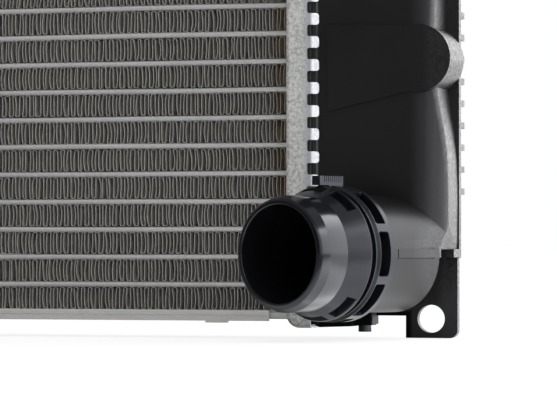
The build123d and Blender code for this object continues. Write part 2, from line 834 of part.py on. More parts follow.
# lower z, radius, height of each step of the screw, from the head up
screw_steps = [
    (screw_head_z, 2.3, 2.9),
    (-0.8, 2.55, 4.8),
    (4.0, 1.55, 1.2),
    (5.2, 2.3, 0.8),
]

with BuildPart() as drain_screw:
    for step_z, step_r, step_height in screw_steps:
        with BuildSketch(Plane.XY.offset(step_z)):
            with Locations((drain_x, drain_y)):
                Circle(step_r)
        extrude(amount=step_height)
    # driver slot
    with BuildSketch(Plane.XY.offset(screw_head_z)):
        with Locations((drain_x, drain_y)):
            Rectangle(driver_slot_length, driver_slot_width)
    extrude(amount=driver_slot_depth, mode=Mode.SUBTRACT)
save_with_twin(drain_screw.part, "drain_screw", "bleed_screw")

with BuildPart() as drain_seal:
    with BuildSketch(Plane.XZ.offset(-drain_y)):
        with Locations((drain_x + seal_ring_r, seal_z)):
            Circle(seal_wire_r)
    revolve(axis=Axis((drain_x, drain_y, 0), (0, 0, 1)))
save_with_twin(drain_seal.part, "drain_seal", "bleed_seal")
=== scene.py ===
"""Radiator: a core of flat tubes and corrugated fins between two plastic end tanks.

It stands upright, in metres: the tubes run along X, Z is up, and -Y faces the camera.
The outlet tank is at +X. The inlet side at -X is the outlet side given half a turn
about the middle of the core.
"""
import json
import math

import bmesh
import bpy
import numpy as np
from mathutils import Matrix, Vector


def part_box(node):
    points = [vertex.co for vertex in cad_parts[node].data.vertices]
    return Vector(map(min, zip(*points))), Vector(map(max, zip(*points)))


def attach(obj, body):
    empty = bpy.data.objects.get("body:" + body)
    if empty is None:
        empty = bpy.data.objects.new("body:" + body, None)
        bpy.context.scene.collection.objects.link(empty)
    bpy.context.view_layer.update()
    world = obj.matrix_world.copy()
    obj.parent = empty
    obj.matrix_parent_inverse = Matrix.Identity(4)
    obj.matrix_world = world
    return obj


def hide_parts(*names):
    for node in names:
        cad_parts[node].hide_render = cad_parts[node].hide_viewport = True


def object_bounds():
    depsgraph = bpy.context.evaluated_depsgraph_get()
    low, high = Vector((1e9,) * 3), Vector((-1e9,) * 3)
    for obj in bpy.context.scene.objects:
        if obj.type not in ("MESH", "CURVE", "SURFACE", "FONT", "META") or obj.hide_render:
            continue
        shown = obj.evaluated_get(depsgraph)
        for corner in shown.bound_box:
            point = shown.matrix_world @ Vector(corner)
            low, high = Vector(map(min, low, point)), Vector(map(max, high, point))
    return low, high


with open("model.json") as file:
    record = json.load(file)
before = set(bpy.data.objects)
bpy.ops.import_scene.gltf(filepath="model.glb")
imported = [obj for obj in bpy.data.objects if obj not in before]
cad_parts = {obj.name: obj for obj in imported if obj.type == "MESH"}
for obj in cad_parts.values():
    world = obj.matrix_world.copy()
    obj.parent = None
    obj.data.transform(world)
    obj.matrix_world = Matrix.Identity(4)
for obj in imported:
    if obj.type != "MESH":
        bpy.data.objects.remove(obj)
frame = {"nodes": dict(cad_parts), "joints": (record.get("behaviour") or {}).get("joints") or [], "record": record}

MM = 0.001
cad_lo, cad_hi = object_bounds()
NODES = frame["nodes"]
RECORD = frame["record"]
BODY = {name: body for body, names in RECORD["behaviour"]["bodies"].items() for name in names}
rng = np.random.default_rng(778)
scene = bpy.context.scene

# ------------------------------------------------------------------ driving dimensions
core_lo, core_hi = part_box("core_tubes")
TURN_Z = core_lo[2] + core_hi[2]                # half a turn takes z to TURN_Z - z
PITCH = 10.0 * MM                               # from tube to tube
TUBE_H = 2.1 * MM
TUBE_Z0 = core_lo[2] + TUBE_H / 2               # middle of the lowest tube
FIN_ROWS = int(round((core_hi[2] - core_lo[2] - TUBE_H) / PITCH)) + 2
PHASE_MAX = 6.28                                # random phases of waves, radians

# hose axis at the outlet
MOUTH_OFFSET = 27.4 * MM                        # from the hinge out to the mouth
lock_turn = next(j for j in frame["joints"] if j["name"] == "outlet_lock_turn")
INWARD = -Vector(lock_turn["axis"]).normalized()
UP = Vector((0, 0, 1))
SIDE = INWARD.cross(UP).normalized()            # to the right, looking into the mouth
MOUTH = Vector(lock_turn["pos_m"]) - INWARD * MOUTH_OFFSET
MOUTH_ZONE = 11.3 * MM                          # collar edges less deep than this stay sharp


def half_turn(points):
    """Points of the outlet side, turned to the inlet side."""
    turned = np.array(points, dtype=float)
    turned[:, 0] *= -1
    turned[:, 2] = TURN_Z - turned[:, 2]
    return turned


def in_mouth_zone(co):
    """Whether a point lies near the mouth of the hose connection on its own side."""
    point = Vector(co) if co[0] > 0 else Vector((-co[0], co[1], TURN_Z - co[2]))
    return (point - MOUTH).dot(INWARD) < MOUTH_ZONE


# ------------------------------------------------------------------ mesh helpers
def new_mesh(name, verts, faces, smooth=True, sharp_angle=None):
    """A mesh from an array of equal faces or from a list of mixed ones."""
    mesh = bpy.data.meshes.new(name)
    verts = np.asarray(verts, dtype=np.float32)
    if isinstance(faces, np.ndarray):
        count, corners = faces.shape
        mesh.vertices.add(len(verts))
        mesh.vertices.foreach_set("co", verts.ravel())
        mesh.loops.add(count * corners)
        mesh.loops.foreach_set("vertex_index", faces.astype(np.int32).ravel())
        mesh.polygons.add(count)
        starts = np.arange(0, count * corners, corners, dtype=np.int32)
        mesh.polygons.foreach_set("loop_start", starts)
        mesh.update(calc_edges=True)
        mesh.validate()
    else:
        mesh.from_pydata([tuple(v) for v in verts], [], [tuple(f) for f in faces])
        mesh.update()
    mesh.polygons.foreach_set("use_smooth", np.full(len(mesh.polygons), smooth))
    if sharp_angle is not None:
        mesh.set_sharp_from_angle(angle=math.radians(sharp_angle))
    return mesh


def ring_quads(rings, points, wrap=False):
    """Quads between closed rings of points that are stored one after another."""
    here = np.arange(rings if wrap else rings - 1)[:, None] * points
    following = (here + points) % (rings * points)
    j = np.arange(points)[None, :]
    j2 = (j + 1) % points
    corners = [here + j, here + j2, following + j2, following + j]
    return np.stack(corners, -1).reshape(-1, 4)


def fix_normals(mesh):
    bm = bmesh.new()
    bm.from_mesh(mesh)
    bmesh.ops.recalc_face_normals(bm, faces=bm.faces)
    bm.to_mesh(mesh)
    bm.free()


def add_object(name, mesh, mat):
    obj = bpy.data.objects.new(name, mesh)
    scene.collection.objects.link(obj)
    mesh.materials.clear()
    mesh.materials.append(mat)
    return obj


def stand_for(obj, cad_node):
    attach(obj, BODY[cad_node])
    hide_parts(cad_node)


# ------------------------------------------------------------------ refined CAD pieces
def round_edges(bm, edges, offset):
    bmesh.ops.bevel(
        bm, geom=edges, offset=offset, offset_type="OFFSET", segments=5, profile=0.5,
        affect="EDGES", clamp_overlap=True,
    )


def round_tabs(bm):
    """Soften the bends of the header's crimp tabs, then round the free corners."""
    bend_radius, bend_min_length = 1.5 * MM, 2.5 * MM
    bend_x = (310.5 * MM, 311.3 * MM)           # range of |x| of the bend lines
    bend_min_y = 22.7 * MM
    corner_radius, corner_min_x = 1.05 * MM, 311.9 * MM
    corner_length = (0.9 * MM, 1.5 * MM)        # through the sheet's thickness
    level = 1e-5

    bends = []
    for edge in bm.edges:
        a, b = (v.co for v in edge.verts)
        run = b - a
        upright = abs(run.x) < level and abs(run.y) < level and abs(run.z) > bend_min_length
        if upright and bend_x[0] < abs(a.x) < bend_x[1] and abs(a.y) > bend_min_y:
            bends.append(edge)
    round_edges(bm, bends, bend_radius)

    corners = []
    for edge in bm.edges:
        a, b = (v.co for v in edge.verts)
        run = b - a
        outboard = min(abs(a.x), abs(b.x)) > corner_min_x
        if outboard and abs(run.z) < level and corner_length[0] < run.length < corner_length[1]:
            corners.append(edge)
    round_edges(bm, corners, corner_radius)


def refined(cad_node, mat, width, shape=None, sharp_mouth=False):
    """A copy of a CAD node with its hard edges broken by a bevel, width in mm.

    shape edits the mesh first; sharp_mouth leaves the edges near the hose mouth sharp.
    """
    hard_angle = math.radians(32)
    mesh = bpy.data.meshes.new(cad_node + "_fine")
    bm = bmesh.new()
    bm.from_mesh(NODES[cad_node].data)
    bmesh.ops.remove_doubles(bm, verts=bm.verts, dist=2e-6)
    bmesh.ops.dissolve_limit(
        bm, angle_limit=math.radians(0.8), verts=bm.verts, edges=bm.edges
    )
    if shape:
        shape(bm)
    bm.normal_update()
    if sharp_mouth:
        weight = bm.edges.layers.float.new("bevel_weight_edge")
        for edge in bm.edges:
            hard = len(edge.link_faces) == 2 and edge.calc_face_angle(0.0) > hard_angle
            kept = all(in_mouth_zone(v.co) for v in edge.verts)
            edge[weight] = 1.0 if hard and not kept else 0.0
    bm.to_mesh(mesh)
    bm.free()
    if mesh.attributes.get("custom_normal"):
        mesh.attributes.remove(mesh.attributes["custom_normal"])
    mesh.polygons.foreach_set("use_smooth", np.ones(len(mesh.polygons), dtype=bool))
    mesh.set_sharp_from_angle(angle=math.radians(180))
    if sharp_mouth:
        near = [in_mouth_zone(v.co) for v in mesh.vertices]
        kept = [all(near[i] for i in edge.vertices) for edge in mesh.edges]
        mesh.edges.foreach_set("use_edge_sharp", kept)

    obj = add_object(cad_node + "_fine", mesh, mat)
    bevel = obj.modifiers.new("edge", "BEVEL")
    bevel.width = width * MM
    bevel.segments = 2
    bevel.limit_method = "WEIGHT" if sharp_mouth else "ANGLE"
    bevel.angle_limit = hard_angle
    bevel.use_clamp_overlap = True
    bevel.harden_normals = False
    bevel.miter_outer = "MITER_ARC"
    normals = obj.modifiers.new("normals", "WEIGHTED_NORMAL")
    normals.keep_sharp = sharp_mouth
    normals.mode = "FACE_AREA"
    stand_for(obj, cad_node)


# ------------------------------------------------------------------ shader helpers
def empty_tree(owner):
    owner.use_nodes = True
    owner.node_tree.nodes.clear()
    return owner.node_tree


def add_node(nt, kind, **settings):
    made = nt.nodes.new(kind)
    for key, value in settings.items():
        setattr(made, key, value)
    return made


def feed(nt, socket, value):
    """Link an input to another socket, or set it to a plain value."""
    if isinstance(value, bpy.types.NodeSocket):
        nt.links.new(value, socket)
    else:
        socket.default_value = value


def calc(nt, operation, *operands):
    made = add_node(nt, "ShaderNodeMath", operation=operation)
    for socket, value in zip(made.inputs, operands):
        feed(nt, socket, value)
    return made.outputs[0]


def vector_calc(nt, operation, *operands, output="Vector"):
    made = add_node(nt, "ShaderNodeVectorMath", operation=operation)
    for socket, value in zip(made.inputs, operands):
        feed(nt, socket, value)
    return made.outputs[output]


def separate(nt, vector):
    made = add_node(nt, "ShaderNodeSeparateXYZ")
    feed(nt, made.inputs[0], vector)
    return made.outputs


def object_coords(nt):
    return add_node(nt, "ShaderNodeTexCoord").outputs["Object"]


def abs_x(nt):
    """Distance from the middle of the radiator along X."""
    return calc(nt, "ABSOLUTE", separate(nt, object_coords(nt))["X"])


def coords(nt, stretch=(1, 1, 1)):
    mapping = add_node(nt, "ShaderNodeMapping")
    mapping.inputs["Scale"].default_value = stretch
    feed(nt, mapping.inputs[0], object_coords(nt))
    return mapping.outputs[0]


def noise(nt, vector, scale, detail, roughness, distortion=0.0):
    made = add_node(nt, "ShaderNodeTexNoise")
    made.inputs["Scale"].default_value = scale
    made.inputs["Detail"].default_value = detail
    made.inputs["Roughness"].default_value = roughness
    made.inputs["Distortion"].default_value = distortion
    feed(nt, made.inputs["Vector"], vector)
    return made.outputs["Fac"]


def ramp(nt, factor, stops):
    """Colour ramp; stops are (position, (red, green, blue))."""
    made = add_node(nt, "ShaderNodeValToRGB")
    elements = made.color_ramp.elements
    while len(elements) < len(stops):
        elements.new(0.5)
    for element, (position, colour) in zip(elements, stops):
        element.position = position
        element.color = (*colour, 1.0)
    feed(nt, made.inputs[0], factor)
    return made.outputs[0]


def grey_ramp(nt, factor, stops):
    return ramp(nt, factor, [(position, (grey,) * 3) for position, grey in stops])


def remap(nt, value, from_range, to_range=(0.0, 1.0), interpolation="LINEAR"):
    made = add_node(nt, "ShaderNodeMapRange", interpolation_type=interpolation)
    made.inputs["From Min"].default_value = from_range[0]
    made.inputs["From Max"].default_value = from_range[1]
    made.inputs["To Min"].default_value = to_range[0]
    made.inputs["To Max"].default_value = to_range[1]
    feed(nt, made.inputs[0], value)
    return made.outputs[0]


def remap_mm(nt, value, start, end, to_range=(0.0, 1.0)):
    """Remap a length, with its range given in millimetres."""
    return remap(nt, value, (start * MM, end * MM), to_range)


def mix_colour(nt, factor, first, second, blend="MIX"):
    made = add_node(nt, "ShaderNodeMix", data_type="RGBA", blend_type=blend)
    feed(nt, made.inputs[0], factor)
    feed(nt, made.inputs[6], first)
    feed(nt, made.inputs[7], second)
    return made.outputs[2]


def bump(nt, bsdf, height, strength, distance, under=None):
    made = add_node(nt, "ShaderNodeBump")
    feed(nt, made.inputs["Strength"], strength)
    made.inputs["Distance"].default_value = distance
    feed(nt, made.inputs["Height"], height)
    if under is not None:
        feed(nt, made.inputs["Normal"], under)
    nt.links.new(made.outputs[0], bsdf.inputs["Normal"])


def new_material(name):
    mat = bpy.data.materials.new(name)
    nt = empty_tree(mat)
    out = add_node(nt, "ShaderNodeOutputMaterial")
    bsdf = add_node(nt, "ShaderNodeBsdfPrincipled")
    nt.links.new(bsdf.outputs[0], out.inputs[0])
    return mat, nt, bsdf


def surface(mat):
    """Node tree of a finished material and its main shader."""
    nt = mat.node_tree
    return nt, next(n for n in nt.nodes if n.type == "BSDF_PRINCIPLED")


def source(bsdf, name):
    return bsdf.inputs[name].links[0].from_socket


# ------------------------------------------------------------------ materials
def plastic(name, dark, light, rough, grain_scale, grain, tint=(1, 1, 1), specular=0.5):
    """Faintly clouded moulding with a fine grain; tint colours its reflections with a painted bluish cast of the
    side light.
    """
    mat, nt, bsdf = new_material(name)
    vector = coords(nt)
    cloud = noise(nt, vector, scale=26.0, detail=4.0, roughness=0.6)
    fine = noise(nt, vector, scale=grain_scale, detail=2.0, roughness=0.6)
    feed(nt, bsdf.inputs["Base Color"], ramp(nt, cloud, [(0.35, dark), (0.7, light)]))
    roughness = remap(nt, cloud, (0.3, 0.7), (rough - 0.04, rough + 0.06))
    feed(nt, bsdf.inputs["Roughness"], roughness)
    bsdf.inputs["Specular IOR Level"].default_value = specular
    bsdf.inputs["IOR"].default_value = 1.5
    # painted reflection colour: the bluish cast of the side light is put into the plastic's own reflections
    bsdf.inputs["Specular Tint"].default_value = (*tint, 1)
    bump(nt, bsdf, fine, strength=grain, distance=0.06 * MM)
    return mat


def metal(name, dark, light, rough, scale, metallic=1.0, bump_scale=900.0,
          bump_strength=0.25, stretch=(1, 1, 1)):
    """Cloudy metal, smoother where it is lighter."""
    mat, nt, bsdf = new_material(name)
    vector = coords(nt, stretch)
    cloud = noise(nt, vector, scale, detail=5.0, roughness=0.65, distortion=0.6)
    feed(nt, bsdf.inputs["Base Color"], ramp(nt, cloud, [(0.32, dark), (0.68, light)]))
    bsdf.inputs["Metallic"].default_value = metallic
    roughness = remap(nt, cloud, (0.3, 0.7), (rough + 0.08, rough - 0.06))
    feed(nt, bsdf.inputs["Roughness"], roughness)
    fine = noise(nt, vector, scale=bump_scale, detail=3.0, roughness=0.6)
    bump(nt, bsdf, fine, strength=bump_strength, distance=0.08 * MM)
    return mat


def header_material():
    """Pressed aluminium with dried flux: light mottles over grey, with a painted reflection at the tabs, a
    blue-grey tint for the bluish light their bent faces catch.
    """
    mat, nt, bsdf = new_material("header_aluminium_mottled")
    vector = coords(nt)
    swirl = noise(nt, vector, scale=560.0, detail=3.0, roughness=0.6, distortion=2.2)
    patches = noise(nt, vector, scale=60.0, detail=3.0, roughness=0.5, distortion=0.4)
    cells = add_node(nt, "ShaderNodeTexVoronoi")
    cells.inputs["Scale"].default_value = 820.0
    cells.inputs["Randomness"].default_value = 1.0
    feed(nt, cells.inputs["Vector"], vector)
    cell_share, patch_share = -0.35, 0.25
    mottle = calc(nt, "MULTIPLY_ADD", cells.outputs["Distance"], cell_share, swirl)
    mottle = calc(nt, "MULTIPLY_ADD", patches, patch_share, mottle)
    colour = ramp(nt, mottle, [
        (0.30, (0.56, 0.565, 0.555)), (0.40, (0.76, 0.765, 0.75)),
        (0.47, (0.84, 0.845, 0.83)), (0.54, (0.98, 0.985, 0.97)),
    ])
    out_x = abs_x(nt)
    # painted reflection: the bent tabs are tinted blue-grey for the bluish light they catch
    tab_reflection_share = remap_mm(nt, out_x, 306.5, 309.5, (0.0, 0.72))
    tab_reflection_colour = (0.55, 0.562, 0.60, 1)
    colour = mix_colour(nt, tab_reflection_share, colour, tab_reflection_colour)
    feed(nt, bsdf.inputs["Base Color"], colour)
    feed(nt, bsdf.inputs["Metallic"], remap_mm(nt, out_x, 307.0, 311.0, (0.45, 0.52)))
    feed(nt, bsdf.inputs["Roughness"], remap(nt, mottle, (0.25, 0.6), (0.50, 0.36)))
    bump(nt, bsdf, mottle, strength=0.5, distance=0.12 * MM)
    return mat


def tint_along_x(mat, stops):
    """Multiply a material's colour by a ramp; stops are (|x| in mm, colour)."""
    nt, bsdf = surface(mat)
    plain = source(bsdf, "Base Color")
    start, end = stops[0][0], stops[-1][0]
    factor = remap_mm(nt, abs_x(nt), start, end)
    tint = ramp(nt, factor, [((x - start) / (end - start), c) for x, c in stops])
    feed(nt, bsdf.inputs["Base Color"], mix_colour(nt, 1.0, plain, tint, blend="MULTIPLY"))


def coarse_grain(mat, start, end, rough, strength, level):
    """Coarser moulded grain with more sheen, setting in over |x| = start to end mm."""
    nt, bsdf = surface(mat)
    position = object_coords(nt)
    xyz = separate(nt, position)
    out_x = calc(nt, "ABSOLUTE", xyz["X"])
    mask = remap_mm(nt, out_x, start, end)
    grain = noise(nt, position, scale=820.0, detail=2.0, roughness=0.55)

    mix = add_node(nt, "ShaderNodeMix", data_type="FLOAT")
    feed(nt, mix.inputs[0], mask)
    feed(nt, mix.inputs[2], source(bsdf, "Roughness"))
    feed(nt, mix.inputs[3], remap(nt, grain, (0.35, 0.65), (rough - 0.10, rough + 0.10)))
    feed(nt, bsdf.inputs["Roughness"], mix.outputs[0])

    # the feet under and over the core lie in shade, except at their outboard ends
    down = calc(nt, "SUBTRACT", cad_hi[2] + cad_lo[2], xyz["Z"])
    foot = calc(nt, "MINIMUM", xyz["Z"], down)
    outboard = remap_mm(nt, out_x, 340.5, 342.0)
    foot_shade = remap_mm(nt, foot, 3.0, 4.2, (0.10, 1.0))
    shade = calc(nt, "MAXIMUM", outboard, foot_shade)
    sheen = calc(nt, "MULTIPLY", remap(nt, mask, (0.0, 1.0), (0.5, level)), shade)
    feed(nt, bsdf.inputs["Specular IOR Level"], sheen)

    amount = calc(nt, "MULTIPLY", mask, strength)
    bump(nt, bsdf, grain, amount, distance=0.12 * MM, under=source(bsdf, "Normal"))


def painted_back_and_top_shade(mat, amount):
    """Painted shade: faces that look up or back are darkened to this share of their colour, so the side light does
    not wash them out.
    """
    nt, bsdf = surface(mat)
    normal = separate(nt, add_node(nt, "ShaderNodeNewGeometry").outputs["Normal"])
    turned = calc(nt, "MAXIMUM", normal["Y"], normal["Z"])
    scale = add_node(nt, "ShaderNodeVectorMath", operation="SCALE")
    feed(nt, scale.inputs[0], source(bsdf, "Base Color"))
    feed(nt, scale.inputs["Scale"], remap(nt, turned, (0.35, 0.85), (1.0, amount)))
    feed(nt, bsdf.inputs["Base Color"], scale.outputs[0])


TANK_NYLON = plastic(
    "tank_black_nylon", dark=(0.0022, 0.0022, 0.0024), light=(0.0036, 0.0036, 0.004),
    rough=0.40, grain_scale=1900.0, grain=0.35, tint=(0.95, 0.96, 1.0),
)
SPIGOT_NYLON = plastic(
    "spigot_black_nylon", dark=(0.004, 0.0042, 0.005), light=(0.006, 0.0063, 0.0075),
    rough=0.16, grain_scale=1800.0, grain=0.05, tint=(0.86, 0.89, 1.0),
)
RING_NYLON = plastic(
    "ring_black_nylon", dark=(0.005, 0.0055, 0.007), light=(0.008, 0.009, 0.011),
    rough=0.30, grain_scale=1800.0, grain=0.08, tint=(0.78, 0.83, 1.0),
)
COLLAR_NYLON = plastic(
    "collar_black_nylon", dark=(0.0055, 0.006, 0.0075), light=(0.007, 0.008, 0.010),
    rough=0.26, grain_scale=1800.0, grain=0.06, tint=(0.84, 0.88, 1.0), specular=0.39,
)
RUBBER = plastic(
    "seal_rubber_black", dark=(0.010, 0.010, 0.010), light=(0.018, 0.018, 0.018),
    rough=0.62, grain_scale=1500.0, grain=0.2,
)
STEEL = metal(
    "wire_dark_steel", dark=(0.10, 0.10, 0.11), light=(0.18, 0.18, 0.19),
    rough=0.35, scale=300.0,
)
TUBE_METAL = metal(
    "tube_aluminium", dark=(0.67, 0.67, 0.66), light=(0.81, 0.81, 0.80),
    rough=0.50, scale=160.0, metallic=0.65, bump_scale=700.0, bump_strength=0.3,
    stretch=(0.25, 1, 1),
)
PLATE_METAL = metal(
    "plate_aluminium", dark=(0.83, 0.83, 0.80), light=(0.95, 0.95, 0.92),
    rough=0.42, scale=120.0, metallic=0.60, bump_scale=700.0, stretch=(0.3, 1, 1),
)
FIN_METAL = metal(
    "fin_aluminium", dark=(0.50, 0.487, 0.46), light=(0.68, 0.665, 0.635),
    rough=0.45, scale=260.0, metallic=0.55, bump_strength=0.15,
)
coarse_grain(TANK_NYLON, start=350.5, end=353.5, rough=0.44, strength=0.24, level=0.72)
# brazing heat leaves the fins beside the headers browner
tint_along_x(FIN_METAL, [
    (293.0, (1, 1, 1)), (297.5, (0.92, 0.80, 0.70)), (299.6, (0.86, 0.66, 0.54)),
])
HEADER_METAL = header_material()
# painted highlights: a bright strip along the edge beside the core, and whiter, bluer bent tabs for the light they
# catch
tint_along_x(HEADER_METAL, [
    (300.9, (1.0, 1.0, 1.0)), (301.5, (1.0, 1.0, 1.0)), (302.3, (0.93, 0.93, 0.92)),
    (306.0, (0.93, 0.93, 0.92)), (309.0, (0.97, 0.98, 1.0)), (311.0, (1.0, 1.0, 1.0)),
    (313.2, (0.95, 0.96, 1.0)),
])
# painted shade on the metal faces that look up or back
painted_back_and_top_shade(HEADER_METAL, amount=0.50)
painted_back_and_top_shade(PLATE_METAL, amount=0.50)
painted_back_and_top_shade(TUBE_METAL, amount=0.55)
painted_back_and_top_shade(FIN_METAL, amount=0.80)


# ------------------------------------------------------------------ flat tubes
def tube_section():
    """(y, z) outline of a tube: two half-round noses joined by flats."""
    radius = TUBE_H / 2
    centre = (core_hi[1] - core_lo[1]) / 2 - radius
    nose_points = 9
    outline = []
    for start, y in ((math.pi / 2, centre), (-math.pi / 2, -centre)):
        for k in range(nose_points):
            a = start - math.pi * k / (nose_points - 1)
            outline.append((y + radius * math.cos(a), radius * math.sin(a)))
    return np.array(outline)


def build_tubes():
    section = tube_section()
    count, points = FIN_ROWS - 1, len(section)
    xs = np.linspace(core_lo[0], core_hi[0], 61)
    tube_points = len(xs) * points
    # the waviness dies out over the last 30 mm at each end
    fade = np.clip((np.abs(core_hi[0]) - np.abs(xs)) / (30 * MM), 0, 1)
    verts, faces = [], []
    for t in range(count):
        phase = rng.uniform(0, PHASE_MAX, 4)
        wave_z = 0.10 * MM * np.sin(xs * 21 + phase[0]) + 0.05 * MM * np.sin(xs * 67 + phase[1])
        wave_y = 0.12 * MM * np.sin(xs * 13 + phase[2])
        tube = np.zeros((len(xs), points, 3))
        tube[:, :, 0] = xs[:, None]
        tube[:, :, 1] = section[:, 0] + (wave_y * fade)[:, None]
        tube[:, :, 2] = TUBE_Z0 + t * PITCH + section[:, 1] + (wave_z * fade)[:, None]
        verts.append(tube.reshape(-1, 3))
        faces.append(ring_quads(len(xs), points) + t * tube_points)
    faces = np.concatenate(faces).tolist()
    for t in range(count):
        first = t * tube_points
        last = first + tube_points - points
        faces.append([first + k for k in range(points)][::-1])
        faces.append([last + k for k in range(points)])
    mesh = new_mesh("flat_tubes", np.concatenate(verts), faces)
    fix_normals(mesh)
    mesh.set_sharp_from_angle(angle=math.radians(50))
    stand_for(add_object("flat_tubes", mesh, TUBE_METAL), "core_tubes")


# ------------------------------------------------------------------ fins
FIN_THICKNESS = 0.16 * MM
FIN_PERIOD = 2.7 * MM
ROWS_PER_OBJECT = 6


def fin_centreline(height, x0, x1):
    """x and z along one corrugated strip: bowed, uneven legs and rounded crests."""
    legs = int(round((x1 - x0) / (FIN_PERIOD / 2)))
    step = (x1 - x0) / legs
    top = height / 2 - FIN_THICKNESS / 2
    crest_rise = step * 0.5 * 0.85
    leg_top = top - crest_rise

    # leg positions drift a little, in bunches, as a gathered strip does
    leg_x = x0 + step * (np.arange(legs) + 0.5)
    wave = 0.10 * MM * np.sin(leg_x * 95 + rng.uniform(0, PHASE_MAX))
    leg_x = leg_x + wave + 0.13 * MM * rng.standard_normal(legs)
    wave = 0.26 * MM * np.sin(leg_x * 61 + rng.uniform(0, PHASE_MAX))
    bow = wave + 0.15 * MM * rng.standard_normal(legs)
    lean = 0.10 * MM * rng.standard_normal(legs)

    along_leg = np.linspace(-1, 1, 5)
    crest = np.array([0.25, 0.5, 0.75]) * math.pi
    xs, zs = [], []
    for k in range(legs):
        end = 1 if k % 2 == 0 else -1           # this leg ends at the top or the bottom
        s = along_leg * end
        x = leg_x[k] + bow[k] * (1 - s**2) + lean[k] * s
        xs.append(x)
        zs.append(s * leg_top)
        if k < legs - 1:
            following = leg_x[k + 1] + lean[k + 1] * end
            middle, half_gap = (x[-1] + following) / 2, (following - x[-1]) / 2
            xs.append(middle - half_gap * np.cos(crest))
            zs.append(end * (leg_top + crest_rise * np.sin(crest) ** 0.8))
    return np.concatenate(xs), np.concatenate(zs)


def fin_row(z_mid, height, x0, x1, depth):
    """One closed corrugated strip: vertices and quads."""
    x, z = fin_centreline(height, x0, x1)
    run_x, run_z = np.gradient(x), np.gradient(z)
    length = np.hypot(run_x, run_z) + 1e-12
    off_x = -run_z / length * FIN_THICKNESS / 2
    off_z = run_x / length * FIN_THICKNESS / 2
    count = len(x)
    verts = np.zeros((count, 4, 3))
    for corner, (face, end) in enumerate(((1, -1), (-1, -1), (-1, 1), (1, 1))):
        y = np.full(count, end * depth / 2)
        verts[:, corner] = np.stack([x + face * off_x, y, z_mid + z + face * off_z], -1)
    walls = ring_quads(count, 4)[:, [0, 3, 2, 1]]
    last = (count - 1) * 4
    caps = np.array([[0, 1, 2, 3], [last + 3, last + 2, last + 1, last]])
    return verts.reshape(-1, 3), np.concatenate([walls, caps])


def build_fins():
    lo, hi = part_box("fin_packs")
    height = PITCH - TUBE_H
    z0 = TUBE_Z0 - PITCH / 2
    for first in range(0, FIN_ROWS, ROWS_PER_OBJECT):
        all_verts, all_faces, base = [], [], 0
        for row in range(first, min(first + ROWS_PER_OBJECT, FIN_ROWS)):
            verts, faces = fin_row(z0 + row * PITCH, height, lo[0], hi[0], hi[1] - lo[1])
            all_verts.append(verts)
            all_faces.append(faces + base)
            base += len(verts)
        name = "fins_%02d" % first
        mesh = new_mesh(
            name, np.concatenate(all_verts), np.concatenate(all_faces), sharp_angle=40
        )
        stand_for(add_object(name, mesh, FIN_METAL), "fin_packs")


# ------------------------------------------------------------------ hose spigots
# Bezier control points of the lip: radius, depth in from the mouth (mm)
LIP_CURVE = np.array([(17.2, -2.3), (18.3, -2.3), (18.95, -1.85), (19.2, -1.0)])
LIP_POINTS = 12
# profile corners in mm: radius, depth in from the mouth, corner rounding
LIP_INNER_CORNER = (16.9, -1.95, 0.3)
SPIGOT_CORNERS = [
    (20.1, 2.0, 1.2), (20.1, 11.0, 0.03), (18.0, 11.0, 0.2),
    # two grooves
    (18.0, 25.5, 0.2), (16.6, 25.5, 0.2), (16.6, 27.5, 0.2), (18.0, 27.5, 0.2),
    (18.0, 30.5, 0.2), (16.6, 30.5, 0.2), (16.6, 32.5, 0.2), (18.0, 32.5, 0.2),
    # inner end and bore
    (18.0, 37.0, 0.8), (15.5, 37.0, 0.5), (15.5, 19.0, 4.0), (16.9, 13.0, 4.0),
]


def cubic(control, t):
    a, b, c, d = control
    return (1 - t)**3 * a + 3 * (1 - t)**2 * t * b + 3 * (1 - t) * t**2 * c + t**3 * d


def rounded(corners, steps):
    """Closed outline with its corners rounded; corners are (x, y, rounding)."""
    points = [np.array(corner[:2], float) for corner in corners]
    outline = []
    for k, corner in enumerate(points):
        rounding = corners[k][2]
        if rounding <= 0:
            outline.append(corner)
            continue
        back = points[k - 1] - corner
        ahead = points[(k + 1) % len(points)] - corner
        back_length, ahead_length = np.linalg.norm(back), np.linalg.norm(ahead)
        back, ahead = back / back_length, ahead / ahead_length
        half_angle = math.acos(np.clip(np.dot(back, ahead), -1, 1)) / 2
        # the arc takes less than half of either side
        trim = min(rounding / math.tan(half_angle), back_length * 0.49, ahead_length * 0.49)
        radius = trim * math.tan(half_angle)
        middle = (back + ahead) / np.linalg.norm(back + ahead)
        centre = corner + middle * (radius / math.sin(half_angle))
        x, y = corner + back * trim - centre
        start = math.atan2(y, x)
        x, y = corner + ahead * trim - centre
        sweep = (math.atan2(y, x) - start + math.pi) % (2 * math.pi) - math.pi
        for step in range(steps + 1):
            a = start + sweep * step / steps
            outline.append(centre + radius * np.array([math.cos(a), math.sin(a)]))
    return np.array(outline)


def lathe(profile, segments=144):
    """Turn a closed (radius, depth) outline in mm about the outlet's hose axis."""
    a = np.linspace(0, 2 * math.pi, segments, endpoint=False)[:, None, None]
    mouth, inward, side, up = (np.array(v) for v in (MOUTH, INWARD, SIDE, UP))
    radius, depth = profile[None, :, 0, None], profile[None, :, 1, None]
    spoke = side * np.cos(a) + up * np.sin(a)
    verts = mouth + inward * depth * MM + spoke * radius * MM
    return verts.reshape(-1, 3), ring_quads(segments, len(profile), wrap=True)


def build_spigots():
    lip = [(*cubic(LIP_CURVE, t), 0) for t in np.linspace(0, 1, LIP_POINTS)]
    profile = rounded([LIP_INNER_CORNER] + lip + SPIGOT_CORNERS, steps=7)
    outlet, faces = lathe(profile)
    for cad_node, verts in (("outlet_spigot", outlet), ("inlet_spigot", half_turn(outlet))):
        name = cad_node + "_body"
        mesh = new_mesh(name, verts, faces, sharp_angle=60)
        fix_normals(mesh)
        stand_for(add_object(name, mesh, SPIGOT_NYLON), cad_node)


